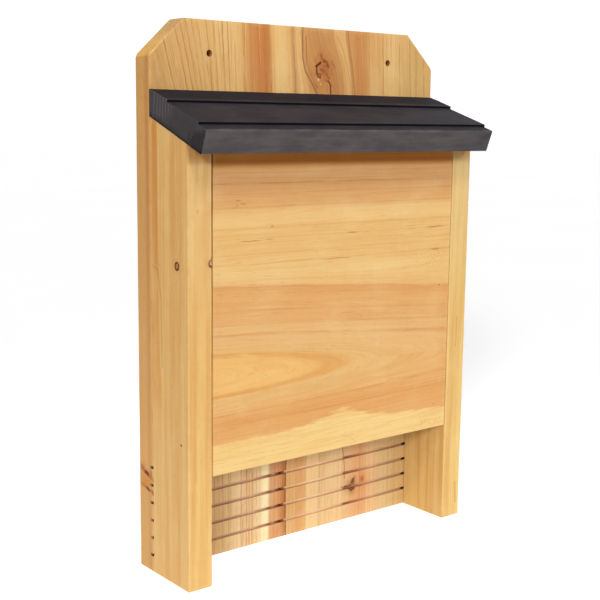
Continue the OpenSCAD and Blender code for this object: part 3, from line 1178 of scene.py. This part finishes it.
# Dark growth lines across the panel, as (place, strength, reach below, reach above)
PANEL_LINES = (
    (-37.4, 0.6, 1.0, 1.0), (-30.8, 0.7, 1.0, 1.0), (-20.2, 1.0, 1.0, 1.8),
    (20.2, 1.0, 1.8, 1.0), (30.8, 0.8, 1.0, 1.0), (60.0, 0.8, 1.4, 0.8),
    (76.5, 0.9, 0.9, 0.9), (100.5, 0.7, 0.7, 0.7), (114.6, 0.6, 0.8, 0.8),
    (123.5, 0.6, 0.7, 0.7),
)
MORE_PANEL_LINES = (
    (37.0, 0.4, 1.0, 1.0), (45.2, 0.5, 0.7, 0.8), (83.0, 0.5, 0.6, 0.6),
    (93.6, 0.4, 0.6, 0.6), (130.5, 1.0, 0.7, 0.7), (137.6, 0.5, 0.6, 0.6),
)

# Short marks on the panel, as (centre, half size, strength)
PANEL_MARKS = (
    ((-79, 234.6), (9, 0.45), 0.6), ((-64, 235), (4, 0.4), 0.5),
    ((10, 236), (5, 0.5), 0.6), ((94, 236), (10, 0.45), 0.7),
    ((67, 237.8), (6, 0.35), 0.4), ((-5, 218.2), (14, 0.5), 0.5),
    ((95, 218.8), (5, 0.8), 0.5), ((-62, 243.5), (1.2, 0.7), 0.6),
    ((-90, 262), (2.2, 0.5), 0.5), ((-86, 259.6), (2.6, 0.45), 0.5),
    ((-91, 258.4), (1.4, 0.4), 0.4), ((100.1, 190.5), (0.8, 0.8), 0.9),
    ((98, 96.5), (0.8, 0.6), 0.9), ((20, 174), (1.5, 0.5), 0.3),
)


def panel_rings(g, wander):
    """Where each point of the panel lies across its growth rings. The rings are cones seen
    from the side, which draw the dome figure, and turn into flat bands higher up."""
    x, y, z = g.x, g.y, g.z
    tip_x, tip_z, tip_ring = -8.0, 142.5, 20.0
    off = z - tip_z + (x - tip_x) * 0.03 + wander * 0.3
    pith = (x - tip_x) * 0.0575 + tip_ring - (y - RAIL_FRONT)
    ring = (off * off + pith * pith).sqrt() + wander * 0.2
    ring = ring + x * 0.024 * g.between(ring, 50.0, 66.0, 12.0)
    flat = z - tip_z - (y - RAIL_FRONT) * 0.4 + wander * 0.25
    upper = g.smooth(ring, 64.0, 78.0) * g.smooth(off, 0.0, 20.0)
    return off.sign() * ring * (1.0 - upper) + flat * upper


def pale_foot(paint, wander, x, y, z):
    """The pale sapwood along the panel's foot, with faint waves. Returns where it lies."""
    g = paint.graph
    tear = (g.noise(x * 0.06, y * 0.1, z * 0.35, detail=3.0) - 0.5) * 8.0
    bank = g.hump((x - 2.0) / 24.0) * 8.5 - (x - 20.0 + (x - 20.0).abs()) * 0.028 + 98.0
    pale = g.smooth(z + tear - bank, 1.8, -1.8)
    paint.cover(pale, (245, 207, 139))
    waves = g.noise(x * 0.035, y * 0.3, z * 0.75 + wander * 0.8)
    paint.tint(g.smooth(waves, 0.53, 0.60) * pale * 0.30, (0.90, 0.76, 0.58))
    return pale


def panel_marks(paint, x, z):
    """Short dark marks, specks and a rough patch on the panel's front."""
    g = paint.graph
    u, v = wobbly(g, x, z, 4.0, 1.0)
    for centre, reach, strength in PANEL_MARKS:
        mark = g.hump((u - centre[0]) / reach[0], (v - centre[1]) / reach[1])
        paint.tint(g.smooth(mark, 0.15, 0.7) * strength, (0.56, 0.38, 0.24))
    strokes(paint, u, v, 1.0, (
        ([(-2, 83), (6, 84.5), (14, 86)], 0.8, 0.15, (176, 126, 70)),
        ([(4, 87), (12, 84), (17, 80)], 0.8, 0.15, (176, 126, 70)),
    ))
    specks = g.noise(x * 0.5, 3.0, z * 0.9, detail=3.0)
    patch = g.hump((x - 92.0) / 16.0, (z - 213.0) / 9.0)
    paint.tint(g.smooth(specks, 0.50, 0.62) * patch * 0.5, (0.78, 0.62, 0.44))
    rough_sawn = g.between(x, 83.0, 106.0, 2.0) * g.between(z, 80.0, 92.0, 1.5)
    paint.tint(g.smooth(specks, 0.42, 0.62) * rough_sawn * 0.4, (0.84, 0.70, 0.52))


def panel_material():
    g = Surface("bare_wood_panel", 0.6)
    x, y, z = g.x, g.y, g.z
    wander = (g.noise(x * 0.012, y * 0.02, z * 0.02) - 0.5) * 5.0
    across = panel_rings(g, wander)
    grain = Grain(g, across, x, y, 5.0)
    paint = Paint(g, g.bands(across, PANEL_BANDS))
    pale = pale_foot(paint, wander, x, y, z)
    reddish = g.smooth(x, 92.0, 108.0) * g.between(z, 120.0, 188.0, 9.0)
    paint.tint(reddish * 0.5, (0.96, 0.84, 0.70))
    lines = g.uneven_lines(across, PANEL_LINES) + g.uneven_lines(across, MORE_PANEL_LINES)
    broken = g.noise(across * 0.5, x * 0.03, 2.0)
    drawn = lines * g.smooth(broken, 0.28, 0.50) * (1.0 - pale)
    paint.tint(drawn * 0.75, (0.80, 0.60, 0.40))
    grain.lay_on(paint, ring=0.16, dash=0.18, streak=0.8)
    panel_marks(paint, x, z)
    paint.tint(1.0, (0.915, 0.935, 0.925))
    # Painted shadow: the panel is darkened and warmed just under the roof, with a darker line
    # at the shadow's lower edge.
    roof_shadow = g.smooth(z, 281.5, 287.5)
    paint.tint(roof_shadow, (0.76, 0.50, 0.22))
    paint.tint(g.hump((z - 286.5) / 2.2) * 0.6, (0.80, 0.66, 0.45))
    end_grain(paint, g.smooth(x.abs(), 109.6, 110.3))
    edge_highlights(paint, 0.15)
    return g.finish(paint, grain.roughness(), grain.height())


ROOF_HEIGHT = 316.0
ROOF_SLOPE = 0.38


def roof_front_face(paint, streak, x, y, z):
    """The roof's front edge, painted paler than the top as painted light for the light that
    falls more on the front; cloudy along it and darker at the right end.
    """
    g = paint.graph
    front = g.smooth(y + z * 0.378, 32.9, 32.3) * g.smooth(y, -76.0, -78.5)
    cloud = g.noise(x * 0.030, 2.0, z * 0.14, detail=4.0, roughness=0.6)
    # Painted light: the front edge's colours are paler than the top's.
    face = Paint(g, (76, 71, 73), (92, 86, 86), g.smooth(cloud, 0.34, 0.66))
    face.tint(g.smooth(streak, 0.5, 0.7) * 0.3, (0.84, 0.83, 0.84))
    face.tint(g.smooth(x, 85.0, 128.0) * 0.6, (0.70, 0.70, 0.74))
    paint.cover(front, face.colour)


def roof_ends(paint, blotch, x, y, z):
    """Sawn ends: pale streaks at the rear, and darker at the underside and the nose."""
    g = paint.graph
    end = g.smooth(x.abs(), 129.3, 130.0)
    comb = y + z * 0.10 - 32.0 + (blotch - 0.5) * 1.5
    sawn = Paint(g, (64, 59, 62), (74, 69, 71), g.smooth(blotch, 0.35, 0.65))
    rear = g.smooth(y, -52.0, -44.0) * g.smooth(z + y * 0.3, 302.0, 309.0)
    drawn = g.lines(comb, (-45.5, -42.0, -38.5, -35.0, -31.5, -28.0, -24.0), 1.1)
    sawn.cover(drawn * rear * 0.75, (104, 96, 94))
    above_underside = z - ROOF_HEIGHT - (y - BOARD_FRONT) * ROOF_SLOPE
    soot = g.noise(x, y * 0.22, z * 0.22, detail=3.0)
    sawn.tint(g.smooth(above_underside + soot * 8.0, 9.5, 5.5) * 0.6, (0.50, 0.46, 0.50))
    sawn.tint(g.smooth(above_underside, 2.4, 0.8) * 0.85, (0.35, 0.28, 0.28))
    nose = g.smooth(y, -62.0, -71.0) * g.smooth(z, 309.0, 304.0)
    sawn.tint(nose * g.smooth(soot, 0.30, 0.50) * 0.9, (0.45, 0.41, 0.45))
    paint.cover(end, sawn.colour)


def roof_material():
    g = Surface("charcoal_stained_wood", 0.62, specular=0.08)
    x, y, z = g.x, g.y, g.z
    wander = (g.noise(x * 0.01, y * 0.05, z * 0.05) - 0.5) * 4.0
    heart_y, heart_z = y - 60.0, z - 200.0
    across = (heart_y * heart_y + heart_z * heart_z).sqrt() + wander
    streak = g.noise(across * 0.7, x * 0.010, 7.0, detail=3.0, roughness=0.6)
    fibre = g.noise(across * 4.0, x * 0.07, z * 3.0)
    blotch = g.noise(x * 0.035, y * 0.05, z * 0.05, detail=4.0, roughness=0.6)
    paint = Paint(g, (50, 47, 53), (62, 58, 63), g.smooth(blotch, 0.35, 0.68))
    # Painted shade: the rear strip next to the back board is darkened and cooled, offsetting
    # the warm light that bounces onto it from the board.
    paint.tint(g.smooth(y, -40.0, -34.0) * 0.95, (0.36, 0.44, 0.60))
    paint.tint(g.smooth(streak, 0.48, 0.7) * 0.5, (0.72, 0.70, 0.72))
    paint.cover(g.smooth(fibre, 0.60, 0.80) * 0.16, (96, 90, 92))

    roof_front_face(paint, streak, x, y, z)
    roof_ends(paint, blotch, x, y, z)

    scuff = g.noise(x * 0.10, y * 0.5, z * 0.9, detail=4.0, roughness=0.7)
    paint.cover(g.smooth(scuff, 0.64, 0.78) * 0.22, (118, 110, 108))
    # Partly rubbed stain and partly a painted highlight: a pale, patchy line along the rounded
    # front-top edge.
    rub_and_highlight = g.noise(x * 0.05, 1.0, 1.0, detail=3.0)
    nosing = g.hump((y + 84.0) / 1.2, (z - 308.6) / 1.4)
    paint.cover(nosing * g.smooth(rub_and_highlight, 0.42, 0.60) * 0.30, (118, 110, 108))
    step = g.smooth(g.attribute("recess"), 0.3, 0.8) * g.smooth(x.abs(), 130.3, 129.9)
    paint.cover(step * 0.97, (10, 8, 10))
    rough = (blotch * 0.2) + 0.55
    height = (streak * 0.09) + (fibre * 0.07) + (scuff * 0.04)
    return g.finish(paint, rough, height)


def zinc_material():
    g = Surface("zinc_plated_steel", 0.35, metallic=1.0)
    grains = g.noise(g.x * 1.3, g.y * 1.3, g.z * 1.3, detail=4.0)
    dull = g.noise(g.x * 0.4, g.y * 0.4, g.z * 0.4)
    paint = Paint(g, (226, 223, 210), (196, 192, 180), g.smooth(grains, 0.35, 0.7))
    paint.tint(g.smooth(dull, 0.5, 0.75) * 0.5, (0.80, 0.72, 0.55))
    return g.finish(paint, (dull * 0.3) + 0.22, grains * 0.03)


def brad_material():
    g = Surface("dull_steel_brads", 0.5, metallic=0.6)
    grains = g.noise(g.x * 3.0, g.y * 3.0, g.z * 3.0, detail=3.0)
    paint = Paint(g, (150, 120, 74), (118, 92, 56), grains)
    return g.finish(paint, (grains * 0.3) + 0.4, grains * 0.05)


# ---------------------------------------------------------------------------------------
# The house
# ---------------------------------------------------------------------------------------

make_back_board(back_board_material())
make_rail("left_side", LEFT, rail_material("bare_wood_left_rail", LEFT, 23.0))
make_rail("right_side", RIGHT, rail_material("bare_wood_right_rail", RIGHT, 41.0))
make_panel(panel_material())
make_roof(roof_material())

zinc, dull_steel = zinc_material(), brad_material()
for node in ("left_side_screws", "right_side_screws", "roof_screws",
             "left_panel_brad", "right_panel_brad"):
    fastener = frame["nodes"][node]
    fastener.data.materials.clear()
    fastener.data.materials.append(dull_steel if "brad" in node else zinc)

# ---------------------------------------------------------------------------------------
# Stage, lights and camera. Azimuth is 0 in front of the house and grows to its right.
# ---------------------------------------------------------------------------------------


def outward(azimuth, elevation):
    a, e = math.radians(azimuth), math.radians(elevation)
    return Vector((math.sin(a) * math.cos(e), -math.cos(a) * math.cos(e), math.sin(e)))


def make_floor(glow, hot_spot, spread):
    """A pale floor that glows a little, most of all round the house, as a lit table does."""
    work = bmesh.new()
    bmesh.ops.create_grid(work, x_segments=8, y_segments=8, size=12.0)
    mesh = bpy.data.meshes.new("floor")
    work.to_mesh(mesh)
    work.free()
    floor = bpy.data.objects.new("floor", mesh)
    floor.location.z = BASE * MM
    bpy.context.scene.collection.objects.link(floor)
    g = Surface("pale_floor", 0.8, specular=0.1)
    shade = g.noise(g.x * 0.002, g.y * 0.002, 0.0, detail=1.0)
    g.put(g.mix(shade, (0.74, 0.74, 0.74, 1.0), (0.72, 0.72, 0.72, 1.0)),
          g.shader.inputs["Base Color"])
    g.shader.inputs["Emission Color"].default_value = (1.0, 1.0, 1.0, 1.0)
    near = g.hump(g.x / spread, (g.y + 60.0) / spread)
    g.put(near * hot_spot + glow, g.shader.inputs["Emission Strength"])
    mesh.materials.append(g.material)


def softbox(name, azimuth, elevation, spread, strength):
    """A distant light, spread degrees across, that shines on the house from an angle."""
    light = bpy.data.lights.new(name, "SUN")
    light.angle = math.radians(spread)
    light.energy = strength
    lamp = bpy.data.objects.new(name, light)
    lamp.rotation_mode = "QUATERNION"
    lamp.rotation_quaternion = outward(azimuth, elevation).to_track_quat("Z", "Y")
    bpy.context.scene.collection.objects.link(lamp)


def make_world(backdrop, room, ceiling):
    """Bright behind the house, softer in front of it, and darkest overhead."""
    world = bpy.data.worlds.new("studio")
    world.use_nodes = True
    g = Graph(world.node_tree)
    x, y, z = g.coordinates("Generated")
    behind = g.smooth(x * 0.63 + y * 0.77, 0.15, 0.55)
    side = behind * (backdrop - room) + room
    overhead = g.smooth(z, 0.20, 0.85)
    brightness = side + overhead * (ceiling - side)
    background = world.node_tree.nodes["Background"]
    g.put(brightness, background.inputs["Strength"])
    background.inputs["Color"].default_value = (1.0, 1.0, 1.0, 1.0)
    bpy.context.scene.world = world


def make_camera(azimuth, elevation, roll, distance, aim, lens):
    """Looks at aim from an angle round the house. A positive roll leans the view clockwise."""
    data = bpy.data.cameras.new("camera")
    data.lens = lens
    data.sensor_width = 36.0
    camera = bpy.data.objects.new("camera", data)
    back = outward(azimuth, elevation)
    camera.location = aim + back * distance
    camera.rotation_mode = "QUATERNION"
    level = (-back).to_track_quat("-Z", "Y")
    camera.rotation_quaternion = level @ Quaternion((0, 0, 1), math.radians(roll))
    bpy.context.scene.collection.objects.link(camera)
    bpy.context.scene.camera = camera


aim_x, aim_height = -0.0374, 0.1911
aim = Vector((aim_x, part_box("front_panel")[0].y, cad_box[0].z + aim_height))

make_floor(glow=0.16, hot_spot=0.45, spread=400.0)
make_world(backdrop=1.1, room=0.32, ceiling=0.40)
softbox("left_softbox", -50.0, 20.0, 9.0, 1.5)
softbox("right_softbox", 35.0, 20.0, 9.0, 1.15)
softbox("top_softbox", -25.0, 55.0, 16.0, 1.5)
make_camera(azimuth=-38.674, elevation=9.067, roll=0.662, distance=0.7789, aim=aim,
            lens=67.17)

scene = bpy.context.scene
scene.view_settings.view_transform = "Standard"
scene.view_settings.look = "None"
